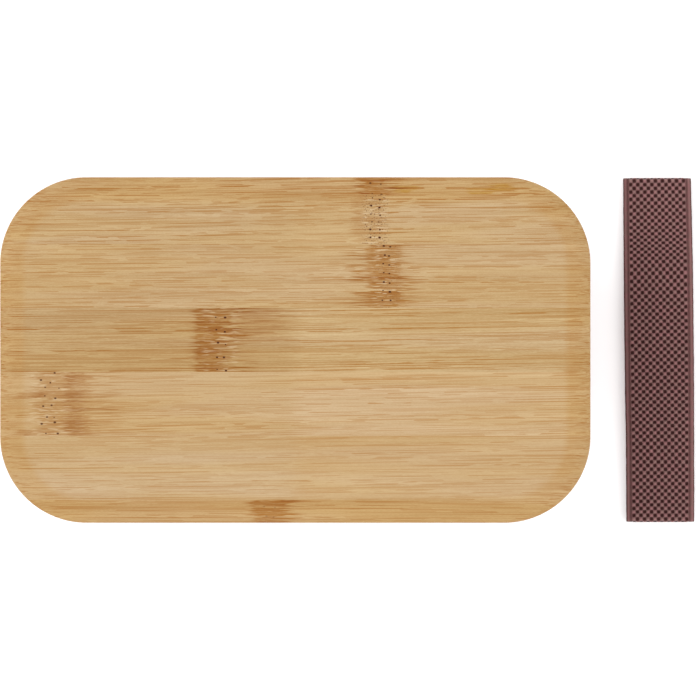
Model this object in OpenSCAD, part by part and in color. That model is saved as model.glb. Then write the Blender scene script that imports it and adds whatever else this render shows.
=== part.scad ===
// Bento lunch box: a moulded plastic container, a laminated bamboo lid with a silicone
// seal, a lift-out divider, and the elastic band that holds it shut, lying beside it.
// Millimetres. The origin is the centre of the container's base, +X runs along the box
// towards the band, +Z is up.

/* [Lid] */
// Length of the lid
lid_length = 205; // [170:1:250]
// Width of the lid
lid_width = 120; // [100:1:150]
// Radius of the lid's corners, seen from above
lid_corner_r = 30; // [24:1:38]
// Thickness of the upper ply, which lies on the rim
upper_ply = 7; // [5:0.5:10]
// Thickness of the lower ply, which plugs the mouth
lower_ply = 5; // [4.5:0.5:8]
// Width of the softened border of the top face
border_w = 6; // [2:0.5:8]
// Radius of the arc that the border falls away on
border_arc_r = 12; // [9:0.5:20]
// Rounding of the lid's lower outer edge
under_edge_r = 1; // [0.5:0.1:2]
// Width of the strip that finishes the upper ply's far edge
far_strip_w = 23.2; // [10:0.1:30]
// Width of the strip that finishes the upper ply's near edge
near_strip_w = 8; // [4:0.1:20]

/* [Container] */
// Height of the container, from the table to the rim
container_h = 58; // [46:1:80]
// How far the lid's edge stands out past the rim
lid_overhang = 1; // [0:0.1:2]
// How far the rim stands out from the wall
rim_bead = 1.8; // [1:0.1:3]
// Height of the rim's outer face
rim_h = 5; // [3:0.5:8]
// Rounding of the rim's upper outer edge
rim_round = 0.8; // [0.3:0.1:1.2]
// Thickness of the wall
wall = 2.4; // [1.8:0.1:3]
// Thickness of the floor
floor_t = 2.6; // [2:0.1:4]
// Draft of the walls, in degrees
draft = 3; // [1:0.5:4]
// Radius between the floor and the wall, outside
base_r = 9; // [4:0.5:12]
// Radius between the floor and the wall, inside
bowl_r = 7; // [4:0.5:10]
// Lead-in chamfer of the mouth
mouth_chamfer = 0.6; // [0.2:0.1:1]

/* [Seal] */
// Gap between the lid's plug and the mouth, which the seal closes
plug_gap = 1.2; // [0.8:0.1:2]
// Chamfer around the bottom of the plug
plug_chamfer = 0.8; // [0.4:0.1:1.2]
// Depth of the seal's groove in the plug
groove_depth = 1.8; // [1:0.1:2.5]
// Height of the seal's groove
groove_h = 2.4; // [2:0.1:3]
// How far the groove lies below the upper ply
groove_drop = 1.2; // [0.8:0.1:1.6]
// Thickness of one of the seal's lips
lip_t = 0.5; // [0.4:0.05:0.7]
// How far a lip's tip is turned up
lip_rise = 0.5; // [0.2:0.1:0.8]
// Clearance between the seal's lips and the mouth
lip_clear = 0.2; // [0.1:0.05:0.4]

/* [Divider] */
// Place of the divider along the box
divider_x = 28; // [0:1:35]
// Thickness of the divider's plate
divider_t = 2; // [1.5:0.1:2.5]
// Clearance of the plate in its channel
channel_clear = 0.25; // [0.15:0.05:0.5]
// Clearance between the plate's ends and the walls
divider_side_clear = 0.4; // [0.3:0.05:0.8]
// How much larger than the bowl's the plate's corner radius is
divider_corner_ease = 1; // [0.5:0.5:4]
// Clearance between the divider and the lid's plug
divider_head_clear = 1.2; // [0.5:0.1:3]
// Thickness of the channel's ribs, along the box
rib_t = 1.5; // [1:0.1:2.5]
// How far the ribs stand out from the walls and the floor
rib_depth = 1.5; // [1:0.1:2.5]
// Clearance between the ribs' tops and the lid's plug
rib_head_clear = 3; // [2:0.5:6]
// Diameter of the grip along the divider's top edge
grip_d = 4; // [3:0.5:6]
// Distance between the grip's ends and the walls
grip_end_gap = 9; // [5:1:20]

/* [Elastic band] */
// Width of the elastic
band_w = 25; // [20:1:30]
// Length of the loop as it lies flat
band_length = 120.5; // [100:0.5:150]
// Thickness of the elastic
band_t = 1.5; // [1:0.1:2]
// Gap between the two layers of the flat loop
band_slit = 0.9; // [0.8:0.1:1.5]
// Gap between the lid's edge and the band on the table
band_gap = 12; // [8:1:40]
// Length of the sewn overlap
overlap = 12; // [8:1:20]
// Thickness of the overlapped end, pressed flat by the sewing
overlap_t = 0.7; // [0.5:0.1:0.8]
// Distance from the loop's near end to the overlap
overlap_inset = 6; // [4:1:20]
// Diameter of the sewing thread
thread_d = 0.5; // [0.3:0.05:0.6]
// Length of one stitch
stitch = 1.8; // [1:0.1:3]
// Gap between one stitch and the next
stitch_gap = 0.8; // [0.5:0.1:2]
// Distance between a row of stitches and the end of the overlap
row_inset = 2.5; // [1.5:0.5:4]
// How far the stitches stop short of the edges of the elastic
seam_margin = 2; // [1:0.5:4]

/* [Hidden] */
$fn = 64;
upper_strips = 6;
lower_strips = 5;

// Every outline of the box is a distance out from the rectangle of its corner centres.
corner_x = lid_length / 2 - lid_corner_r;
corner_y = lid_width / 2 - lid_corner_r;

rim_r = lid_corner_r - lid_overhang;
wall_r = rim_r - rim_bead;
mouth_r = wall_r - wall;
plug_r = mouth_r - plug_gap;
groove_r = plug_r - groove_depth;

lid_top_z = container_h + upper_ply;
plug_z = container_h - lower_ply;
groove_top = container_h - groove_drop;
groove_floor = groove_top - groove_h;
lip_tip = 0.1;

rib_top = plug_z - rib_head_clear;
rib_root = 0.5;
channel_w = divider_t + 2 * channel_clear;
divider_top = plug_z - divider_head_clear;

band_h = 2 * band_t + band_slit;
band_x = lid_length / 2 + band_gap + band_w / 2;
overlap_y = -band_length / 2 + overlap_inset;
stitch_clear = 0.05;
beyond = 1;

// Distance of a drafted wall at height z, for a wall that is top_r out at the rim.
function wall_at(top_r, z) = top_r - (container_h - z) * tan(draft);

// Sweeps a section, drawn as (distance out, height), round the box.
module around_corners() {
    for (turn = [0:3]) {
        side_x = turn == 0 || turn == 3 ? 1 : -1;
        side_y = turn < 2 ? 1 : -1;
        translate([side_x * corner_x, side_y * corner_y, 0])
            rotate([0, 0, 90 * turn])
                rotate_extrude(angle = 90) children();
    }
}

module along_sides() {
    for (half = [0, 180]) {
        rotate([0, 0, half])
            translate([corner_x, 0, 0])
                rotate([90, 0, 0])
                    linear_extrude(height = 2 * corner_y, center = true) children();
        rotate([0, 0, half + 90])
            translate([corner_y, 0, 0])
                rotate([90, 0, 0])
                    linear_extrude(height = 2 * corner_x, center = true) children();
    }
}

module swept_ring() {
    union() {
        around_corners() children();
        along_sides() children();
    }
}

// The same, with the rectangle between the corner centres filled from z to z + h.
module swept_block(z, h) {
    union() {
        swept_ring() children();
        translate([-corner_x, -corner_y, z]) cube([2 * corner_x, 2 * corner_y, h]);
    }
}

// A solid cup's section, with a rounded corner between its floor and its drafted wall.
module cup_section(top_r, floor_z, r, top) {
    centre = [wall_at(top_r, floor_z + r) - r / cos(draft), floor_z + r];
    polygon([
        [0, floor_z],
        [centre[0], floor_z],
        centre + r * [cos(draft), -sin(draft)],
        [wall_at(top_r, top), top],
        [0, top]
    ]);
    translate(centre) circle(r = r);
}

// The bowl's outline across the box, drawn as (y, z) and shrunk by the given insets.
module bowl_outline(side_inset, floor_inset, r, top) {
    floor_z = floor_t + floor_inset;
    for (side = [0, 1])
        mirror([side, 0]) translate([corner_y, 0]) cup_section(mouth_r - side_inset, floor_z, r, top);
    translate([-corner_y, floor_z]) square([2 * corner_y, top - floor_z]);
}

// Stands a (y, z) outline up across the box, t thick and centred on x.
module across_box(x, t) {
    translate([x - t / 2, 0, 0])
        rotate([90, 0, 90])
            linear_extrude(height = t) children();
}

module wall_section() {
    rim_underside = container_h - rim_h;
    difference() {
        union() {
            cup_section(wall_r, 0, base_r, rim_underside);
            polygon([
                [0, rim_underside - rim_bead],
                [wall_at(wall_r, rim_underside - rim_bead), rim_underside - rim_bead],
                [rim_r, rim_underside],
                [rim_r, container_h - rim_round],
                [rim_r - rim_round, container_h],
                [0, container_h]
            ]);
            translate([rim_r - rim_round, container_h - rim_round]) circle(r = rim_round);
        }
        cup_section(mouth_r, floor_t, bowl_r, container_h + beyond);
        polygon([
            [0, container_h - mouth_chamfer],
            [wall_at(mouth_r, container_h - mouth_chamfer), container_h - mouth_chamfer],
            [mouth_r + mouth_chamfer, container_h],
            [mouth_r + mouth_chamfer, container_h + beyond],
            [0, container_h + beyond]
        ]);
    }
}

// The ribs on either side of the divider, which run down one wall and up the other.
module channel_rib(side) {
    across_box(divider_x + side * (channel_w + rib_t) / 2, rib_t)
        difference() {
            bowl_outline(-rib_root, -rib_root, bowl_r + rib_root, rib_top);
            bowl_outline(rib_depth, rib_depth, bowl_r - rib_depth, rib_top + beyond);
        }
}

module container() {
    color("rosybrown") union() {
        swept_block(0, floor_t) wall_section();
        for (side = [-1, 1]) channel_rib(side);
    }
}

module divider() {
    grip_z = divider_top - grip_d / 2;
    grip_l = 2 * (corner_y + wall_at(mouth_r, grip_z) - grip_end_gap) - grip_d;
    color("rosybrown") union() {
        across_box(divider_x, divider_t)
            bowl_outline(divider_side_clear, 0, bowl_r + divider_corner_ease, grip_z);
        translate([divider_x, 0, grip_z]) {
            rotate([90, 0, 0]) cylinder(d = grip_d, h = grip_l, center = true);
            for (side = [-1, 1]) translate([0, side * grip_l / 2, 0]) sphere(d = grip_d);
        }
    }
}

module upper_board() {
    swept_block(container_h, upper_ply) translate([0, container_h]) intersection() {
        union() {
            square([lid_corner_r - under_edge_r, upper_ply]);
            translate([0, under_edge_r]) square([lid_corner_r, upper_ply - under_edge_r]);
            translate([lid_corner_r - under_edge_r, under_edge_r]) circle(r = under_edge_r);
        }
        union() {
            square([lid_corner_r - border_w, upper_ply]);
            translate([lid_corner_r - border_w, upper_ply - border_arc_r]) circle(r = border_arc_r);
        }
    }
}

module lower_board() {
    swept_block(plug_z, lower_ply) polygon([
        [0, plug_z],
        [plug_r - plug_chamfer, plug_z],
        [plug_r, plug_z + plug_chamfer],
        [plug_r, groove_floor],
        [groove_r, groove_floor],
        [groove_r, groove_top],
        [plug_r, groove_top],
        [plug_r, container_h],
        [0, container_h]
    ]);
}

// Cuts the slab between two glue lines out of a ply.
module strip(near, far) {
    intersection() {
        children();
        translate([-lid_length, near, 0]) cube([2 * lid_length, far - near, 2 * lid_top_z]);
    }
}

// Strips count from the far edge. The ones between the two edge strips are equal.
module lid_upper_strip(i) {
    strip_w = (lid_width - far_strip_w - near_strip_w) / (upper_strips - 2);
    first_line = -lid_width / 2 + near_strip_w;
    near = i == upper_strips ? -lid_width : first_line + (upper_strips - 1 - i) * strip_w;
    far = i == 1 ? lid_width : first_line + (upper_strips - i) * strip_w;
    color("burlywood") strip(near, far) upper_board();
}

// Equal shares of the plug's width, so that no glue line lies under one of the upper ply's.
module lid_lower_strip(i) {
    half_width = corner_y + plug_r;
    strip_w = 2 * half_width / lower_strips;
    color("tan") strip(half_width - i * strip_w, half_width - (i - 1) * strip_w) lower_board();
}

function lip(z) = [
    [plug_r, z],
    [wall_at(mouth_r, z) - lip_clear, z + lip_rise - lip_tip],
    [wall_at(mouth_r, z) - lip_clear, z + lip_rise],
    [plug_r, z + lip_t]
];

module lid_seal() {
    lips = [groove_floor, groove_floor + (groove_h - lip_t) / 2, groove_top - lip_t];
    color("whitesmoke") swept_ring() polygon(concat(
        [[groove_r, groove_floor]],
        [for (z = lips) each lip(z)],
        [[groove_r, groove_top]]
    ));
}

module flat_loop(length, h) {
    run = length - h;
    translate([-run / 2, 0]) square([run, h]);
    for (end = [-1, 1]) translate([end * run / 2, h / 2]) circle(d = h);
}

// Runs its child at each stitch of the two rows that sew the overlap.
module each_stitch() {
    pitch = stitch + stitch_gap;
    count = floor((band_w - 2 * seam_margin + stitch_gap) / pitch);
    for (row_y = [overlap_y + row_inset, overlap_y + overlap - row_inset], k = [0:count - 1])
        translate([band_x + (k - (count - 1) / 2) * pitch, row_y, thread_d / 2]) children();
}

module elastic_band() {
    bed = thread_d + 2 * stitch_clear;
    color("rosybrown") difference() {
        translate([band_x - band_w / 2, 0, 0]) rotate([90, 0, 90]) linear_extrude(height = band_w)
            union() {
                difference() {
                    flat_loop(band_length, band_h);
                    translate([0, band_t]) flat_loop(band_length - 2 * band_t, band_slit);
                }
                translate([overlap_y, band_t]) square([overlap, overlap_t]);
            }
        each_stitch() cube([stitch + 2 * stitch_clear, bed, bed], center = true);
    }
}

module band_stitching() {
    color("maroon") each_stitch() rotate([0, 90, 0]) cylinder(d = thread_d, h = stitch, center = true);
}

container();
divider();
for (i = [1:upper_strips])
    lid_upper_strip(i);
for (i = [1:lower_strips])
    lid_lower_strip(i);
lid_seal();
elastic_band();
band_stitching();
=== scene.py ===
"""A bento lunch box: container, divider, laminated bamboo lid, seal and elastic band."""

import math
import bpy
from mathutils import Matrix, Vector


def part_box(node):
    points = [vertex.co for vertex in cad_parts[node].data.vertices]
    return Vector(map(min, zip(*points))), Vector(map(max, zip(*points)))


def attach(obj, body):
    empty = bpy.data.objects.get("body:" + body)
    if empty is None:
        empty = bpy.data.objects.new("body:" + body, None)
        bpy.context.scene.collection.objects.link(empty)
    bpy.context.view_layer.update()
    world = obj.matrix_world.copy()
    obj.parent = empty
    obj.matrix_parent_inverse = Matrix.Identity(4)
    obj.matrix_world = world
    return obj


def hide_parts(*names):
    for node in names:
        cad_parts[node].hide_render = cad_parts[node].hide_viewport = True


bl_info = {
    "name": "Bento Lunch Box",
    "version": (1, 0, 0),
    "blender": (4, 5, 0),
    "location": "3D Viewport > Sidebar > Lunch Box",
    "description": "Models a lunch box with a bamboo lid, a divider and an elastic band",
    "category": "Add Mesh",
}

import bmesh
import bpy
from bpy.props import FloatProperty, FloatVectorProperty, IntProperty, PointerProperty
from mathutils import Vector

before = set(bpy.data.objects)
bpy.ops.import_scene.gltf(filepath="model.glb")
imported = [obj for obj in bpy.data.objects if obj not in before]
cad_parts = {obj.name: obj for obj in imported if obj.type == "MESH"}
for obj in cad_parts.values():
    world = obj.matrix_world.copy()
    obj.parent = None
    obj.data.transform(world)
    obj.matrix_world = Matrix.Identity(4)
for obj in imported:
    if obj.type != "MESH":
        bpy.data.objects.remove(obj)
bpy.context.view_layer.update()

MM = 0.001
# Points closer together than this count as one.
NEAR = 0.01 * MM
# A place further out than any piece.
BEYOND = 1
TURN_STEPS = 96
# How far in from the corners' centres a swept form is divided, and how far its ends are inset.
CAP_MARGIN = 1 * MM

UPPER_STRIPS = [f"lid_upper_strip_{i}" for i in range(1, 7)]
LOWER_STRIPS = [f"lid_lower_strip_{i}" for i in range(1, 6)]


def linear(red, green, blue):
    """The scene-linear colour of an 8-bit display colour."""
    return tuple(
        c / 12.92 if c <= 0.04045 else ((c + 0.055) / 1.055) ** 2.4
        for c in (red / 255, green / 255, blue / 255)
    )


# ---------------------------------------------------------------- sizes and colours


def LengthProperty(name, description, default):
    """A length, with its default in millimetres."""
    return FloatProperty(
        name=name,
        description=description,
        default=default * MM,
        min=0,
        subtype="DISTANCE",
        unit="LENGTH",
    )


def NumberProperty(name, description, default, **more):
    return FloatProperty(name=name, description=description, default=default, **more)


def ColourProperty(name, description, default):
    return FloatVectorProperty(
        name=name, description=description, default=default, min=0, max=1, size=3, subtype="COLOR"
    )


class LidSettings(bpy.types.PropertyGroup):
    corner_radius: LengthProperty("Corner radius", "Radius of the lid's corners, from above", 30)
    border: LengthProperty("Border", "Width of the border that falls away", 6)
    border_arc: LengthProperty("Border arc", "Radius of the arc that the border follows", 12)
    edge_round: LengthProperty("Edge round", "Rounding of the lower outer edge", 1)
    crease_round: LengthProperty("Crease round", "Rounding between border and side", 1.2)
    side_top: LengthProperty("Side top", "Height above the table where the side's face ends", 62)
    plug_radius: LengthProperty("Plug radius", "Radius of the plug's corners", 23.6)
    plug_chamfer: LengthProperty("Plug chamfer", "Chamfer round the bottom of the plug", 0.8)
    groove_radius: LengthProperty("Groove radius", "Corner radius of the groove's floor", 21.8)
    lip_thickness: LengthProperty("Lip thickness", "Thickness of a lip of the seal", 0.5)
    lip_rise: LengthProperty("Lip rise", "How far a lip of the seal is turned up", 0.5)
    lip_clearance: LengthProperty("Lip clearance", "Gap between the lips and the mouth", 0.2)


class BambooSettings(bpy.types.PropertyGroup):
    pale: ColourProperty("Pale fibre", "The palest lines in the bamboo", linear(196, 172, 136))
    deep: ColourProperty("Deep fibre", "The deeper lines between them", linear(160, 126, 81))
    streak: ColourProperty("Streak", "The thin brown fibre bundles", linear(156, 109, 54))
    knot: ColourProperty("Knot", "What a joint multiplies the colour by", (0.64, 0.36, 0.05))
    pore: ColourProperty("Pore", "The small dark vessels in a knot", linear(66, 24, 0))
    border_tint: ColourProperty("Border tint", "What the border multiplies it by", (0.965, 0.9, 0.77))
    golden: ColourProperty("Golden tint", "What golden parts multiply it by", (0.99, 0.965, 0.86))
    border_zone: LengthProperty("Border zone", "How far in the border's warmer tone reaches", 10)
    border_contrast: NumberProperty("Border contrast", "Extra contrast of the border's lines", 0.15)


class ContainerSettings(bpy.types.PropertyGroup):
    draft: NumberProperty("Draft", "Slope of the moulded walls", math.radians(3), unit="ROTATION")
    overhang: LengthProperty("Lid overhang", "How far the lid stands out past the rim", 1)
    rim_bead: LengthProperty("Rim bead", "How far the rim stands out from the wall", 1.8)
    rim_height: LengthProperty("Rim height", "Height of the rim's outer face", 5)
    rim_round: LengthProperty("Rim round", "Rounding of the rim's top edge", 0.8)
    wall: LengthProperty("Wall", "Thickness of the wall", 2.4)
    floor: LengthProperty("Floor", "Thickness of the floor", 2.6)
    base_round: LengthProperty("Base round", "Radius between floor and wall, outside", 9)
    bowl_round: LengthProperty("Bowl round", "Radius between floor and wall, inside", 7)
    mouth_chamfer: LengthProperty("Mouth chamfer", "Lead-in chamfer of the mouth", 0.6)
    rib: LengthProperty("Rib", "Thickness and height of the divider's channel ribs", 1.5)
    rib_top: LengthProperty("Rib top", "Height of the ribs above the table", 50)
    channel: LengthProperty("Channel", "Gap between the ribs", 2.5)
    plate: LengthProperty("Divider plate", "Thickness of the divider's plate", 2)
    side_gap: LengthProperty("Side gap", "Gap between the divider's ends and the walls", 0.4)
    colour: ColourProperty("Plastic", "Colour of the moulded plastic", linear(131, 97, 95))
    seal_colour: ColourProperty("Silicone", "Colour of the seal", linear(212, 211, 203))


class BandSettings(bpy.types.PropertyGroup):
    thickness: LengthProperty("Thickness", "Thickness of the elastic", 1.45)
    columns: IntProperty(
        name="Columns", description="Knots and gaps across the weave", default=16, min=2
    )
    pitch: LengthProperty("Pitch", "Length of a knot or a gap along the weave", 1.215)
    selvedge: LengthProperty("Selvedge", "Width of the smooth edge", 2.1)
    pit: LengthProperty("Pit", "Depth of the gaps in the weave", 0.65)
    crown: LengthProperty("Crown", "Height of the knots' crowns", 0.4)
    overlap: LengthProperty("Overlap", "Length of the sewn overlap", 12)
    overlap_inset: LengthProperty("Overlap inset", "Distance of the overlap from the fold", 6)
    overlap_thickness: LengthProperty("Overlap thickness", "Thickness of the pressed end", 0.65)
    stitch: LengthProperty("Stitch", "Length of one stitch", 1.8)
    stitch_pitch: LengthProperty("Stitch pitch", "Distance from stitch to stitch", 2.6)
    light_yarn: ColourProperty("Light yarn", "Colour of the knots' crowns", linear(156, 113, 111))
    # Painted shade: the colour the gaps of the weave are painted, standing for the shade down in
    # them.
    gap_shade: ColourProperty("Gap shade", "Colour down in the gaps", linear(56, 18, 15))
    thread: ColourProperty("Thread", "Colour of the sewing thread", linear(128, 86, 84))


class StageSettings(bpy.types.PropertyGroup):
    field: LengthProperty("Field", "Width of the picture at the top of the lid", 243)
    lens: NumberProperty("Lens", "Focal length in mm", 1200, min=50)
    floor_colour: ColourProperty("Floor", "Colour of the floor", (0.98, 0.98, 0.98))
    floor_glow: NumberProperty("Floor glow", "How much light comes up through the paper", 0.26, min=0)
    key_power: NumberProperty("Key", "Power of the key light", 9.2, unit="POWER")
    fill_power: NumberProperty("Fill", "Power of each fill light", 3.4, unit="POWER")
    sky: NumberProperty("Sky", "Strength of the light from all round", 1.01)


class LunchBoxSettings(bpy.types.PropertyGroup):
    lid: PointerProperty(type=LidSettings)
    bamboo: PointerProperty(type=BambooSettings)
    container: PointerProperty(type=ContainerSettings)
    band: PointerProperty(type=BandSettings)
    stage: PointerProperty(type=StageSettings)


def settings():
    return bpy.context.scene.lunch_box


# ---------------------------------------------------------------- sizes that the frame gives


def corner_centre():
    """How far the centres of the box's corners lie from its middle, along X and Y."""
    radius = settings().lid.corner_radius
    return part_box("lid_upper_strip_3")[1].x - radius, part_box("lid_upper_strip_1")[1].y - radius


def rim_radius():
    return settings().lid.corner_radius - settings().container.overhang


def wall_radius():
    return rim_radius() - settings().container.rim_bead


def mouth_radius():
    return wall_radius() - settings().container.wall


def drafted(top_radius, height):
    """How far out a drafted wall stands at a height, when it is top_radius out at the rim."""
    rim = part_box("container")[1].z
    return top_radius - (rim - height) * math.tan(settings().container.draft)


# ---------------------------------------------------------------- modelling


def close():
    """Leaves edit mode."""
    if bpy.context.mode != "OBJECT":
        bpy.ops.object.mode_set(mode="OBJECT")


def deselect():
    bpy.ops.object.select_all(action="DESELECT")


def choose(*pieces):
    """Selects these objects and no others, and makes the first one active."""
    close()
    deselect()
    for piece in pieces:
        piece.select_set(True)
    bpy.context.view_layer.objects.active = pieces[0]


def edit(piece):
    """Opens one piece, and nothing else, in edit mode."""
    choose(piece)
    bpy.ops.object.mode_set(mode="EDIT")


def pick(kind, test):
    """In edit mode, selects the verts, edges or faces that pass a test, and no others."""
    mesh = bmesh.from_edit_mesh(bpy.context.object.data)
    bpy.ops.mesh.select_mode(type={"verts": "VERT", "edges": "EDGE", "faces": "FACE"}[kind])
    bpy.ops.mesh.select_all(action="DESELECT")
    for item in getattr(mesh, kind):
        if test(item):
            item.select_set(True)
    mesh.select_flush_mode()
    bmesh.update_edit_mesh(bpy.context.object.data)


def pick_all():
    bpy.ops.mesh.select_all(action="SELECT")


def move(shift):
    bpy.ops.transform.translate(value=shift)


def extrude(shift):
    bpy.ops.mesh.extrude_region_move(TRANSFORM_OT_translate={"value": shift})


def weld(reach=NEAR):
    """Merges the points that lie together."""
    pick_all()
    bpy.ops.mesh.remove_doubles(threshold=reach)


def face_outwards():
    pick_all()
    bpy.ops.mesh.normals_make_consistent(inside=False)


def modify(piece, kind, **values):
    """Adds a modifier with these settings and applies it."""
    choose(piece)
    modifier = piece.modifiers.new(kind.title(), kind)
    for key, value in values.items():
        setattr(modifier, key, value)
    bpy.ops.object.modifier_apply(modifier=modifier.name)


def settle(piece):
    """Moves the object's place, turn and scale into its mesh."""
    choose(piece)
    bpy.ops.object.transform_apply(location=True, rotation=True, scale=True)


def join(piece, other):
    """Makes another object's mesh a part of this one's."""
    choose(piece, other)
    bpy.ops.object.join()


def merge_into(piece, other):
    """Joins two overlapping solids into one skin."""
    modify(piece, "BOOLEAN", operation="UNION", solver="EXACT", object=other)
    bpy.data.objects.remove(other)


def copy_of(piece, name):
    """A copy with its own mesh."""
    choose(piece)
    bpy.ops.object.duplicate(linked=False)
    twin = bpy.context.object
    twin.name = twin.data.name = name
    return twin


def rounded(corners, steps=6):
    """Points along an outline whose corners, (across, up, radius), are rounded by arcs."""
    points = []
    for k, (across, up, radius) in enumerate(corners):
        here = Vector((across, up))
        if radius == 0:
            points.append(here)
            continue
        back = (Vector(corners[k - 1][:2]) - here).normalized()
        onward = (Vector(corners[(k + 1) % len(corners)][:2]) - here).normalized()
        half = back.angle(onward) / 2
        centre = here + (back + onward).normalized() * radius / math.sin(half)
        first = here + back * radius / math.tan(half) - centre
        last = here + onward * radius / math.tan(half) - centre
        start = math.atan2(first.y, first.x)
        sweep = (math.atan2(last.y, last.x) - start + math.pi) % math.tau - math.pi
        for step in range(steps + 1):
            angle = start + sweep * step / steps
            points.append(centre + radius * Vector((math.cos(angle), math.sin(angle))))
    return points


def draw_chain(name, points):
    """Draws an open chain of edges by extruding one vertex from point to point."""
    deselect()
    bpy.ops.mesh.primitive_plane_add(size=MM, location=points[0])
    piece = bpy.context.object
    piece.name = piece.data.name = name
    settle(piece)
    edit(piece)
    bpy.ops.mesh.select_mode(type="VERT")
    pick_all()
    bpy.ops.mesh.merge(type="CENTER")
    for here, there in zip(points, points[1:]):
        extrude(there - here)
    return piece


def on_axis(axis, distance):
    """A vector along X or Y alone."""
    vector = Vector((0, 0, 0))
    vector[axis] = distance
    return vector


def cap(height):
    """Closes the open ring at a height with one face, and insets it."""
    pick("edges", lambda e: e.is_boundary and all(abs(v.co.z - height) < NEAR for v in e.verts))
    bpy.ops.mesh.edge_face_add()
    bpy.ops.mesh.inset(thickness=CAP_MARGIN)


def sweep_round(name, section, is_ring=False):
    """Turns a section of (distance out, height) points about Z and pulls the four quarters
    of the turned form apart to the corners of the box. An open section gets capped ends."""
    lean = math.tan(math.pi / TURN_STEPS)
    chain = section + section[:1] if is_ring else section
    piece = draw_chain(name, [Vector((p[0], p[0] * lean, p[1])) for p in chain])
    pick_all()
    bpy.ops.mesh.spin(steps=TURN_STEPS, angle=math.tau, center=(0, 0, 0), axis=(0, 0, 1))
    weld()
    sides = [
        (axis, side, reach) for axis, reach in enumerate(corner_centre()) for side in (1, -1)
    ]
    for axis, side, reach in sides:
        pick("verts", lambda v: v.co[axis] * side > 0)
        move(on_axis(axis, side * reach))
    if not is_ring:
        cap(section[0][1])
        cap(section[-1][1])
    for axis, side, reach in sides:
        pick_all()
        bpy.ops.mesh.bisect(
            plane_co=on_axis(axis, side * (reach - CAP_MARGIN)), plane_no=on_axis(axis, 1)
        )
    face_outwards()
    close()
    return piece


def saw(board, nodes, name):
    """Saws a board along the glue lines, and hands over each strip with its number and node."""
    for k, node in enumerate(nodes, 1):
        low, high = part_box(node)
        near = low.y if k < len(nodes) else -BEYOND
        far = high.y if k > 1 else BEYOND
        strip = copy_of(board, f"{name}_{k}")
        edit(strip)
        for line, side in ((near, -1), (far, 1)):
            pick_all()
            bpy.ops.mesh.bisect(
                plane_co=(0, line, 0), plane_no=(0, side, 0), use_fill=True, clear_outer=True
            )
        close()
        yield k, node, strip
    bpy.data.objects.remove(board)


def upright_plate(name, outline, x, thickness, edge_round):
    """A plate that stands across the box, from its (y, z) outline."""
    piece = draw_chain(name, [Vector((x - thickness / 2, p[0], p[1])) for p in outline])
    pick_all()
    bpy.ops.mesh.edge_face_add()
    extrude((thickness, 0, 0))
    face_outwards()
    pick("edges", lambda e: not e.is_boundary and e.calc_face_angle() > math.radians(60))
    bpy.ops.mesh.bevel(offset=edge_round, segments=3)
    close()
    return piece


def finish(piece, material, body, slot, *nodes, angle=30):
    """Shades a piece, gives it its material, says what it rides on and hides the parts it stands for.
    """
    choose(piece)
    bpy.ops.object.shade_smooth_by_angle(angle=math.radians(angle))
    piece.data.materials.clear()
    piece.data.materials.append(material)
    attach(piece, body)
    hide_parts(*nodes)


# ---------------------------------------------------------------- materials


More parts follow.
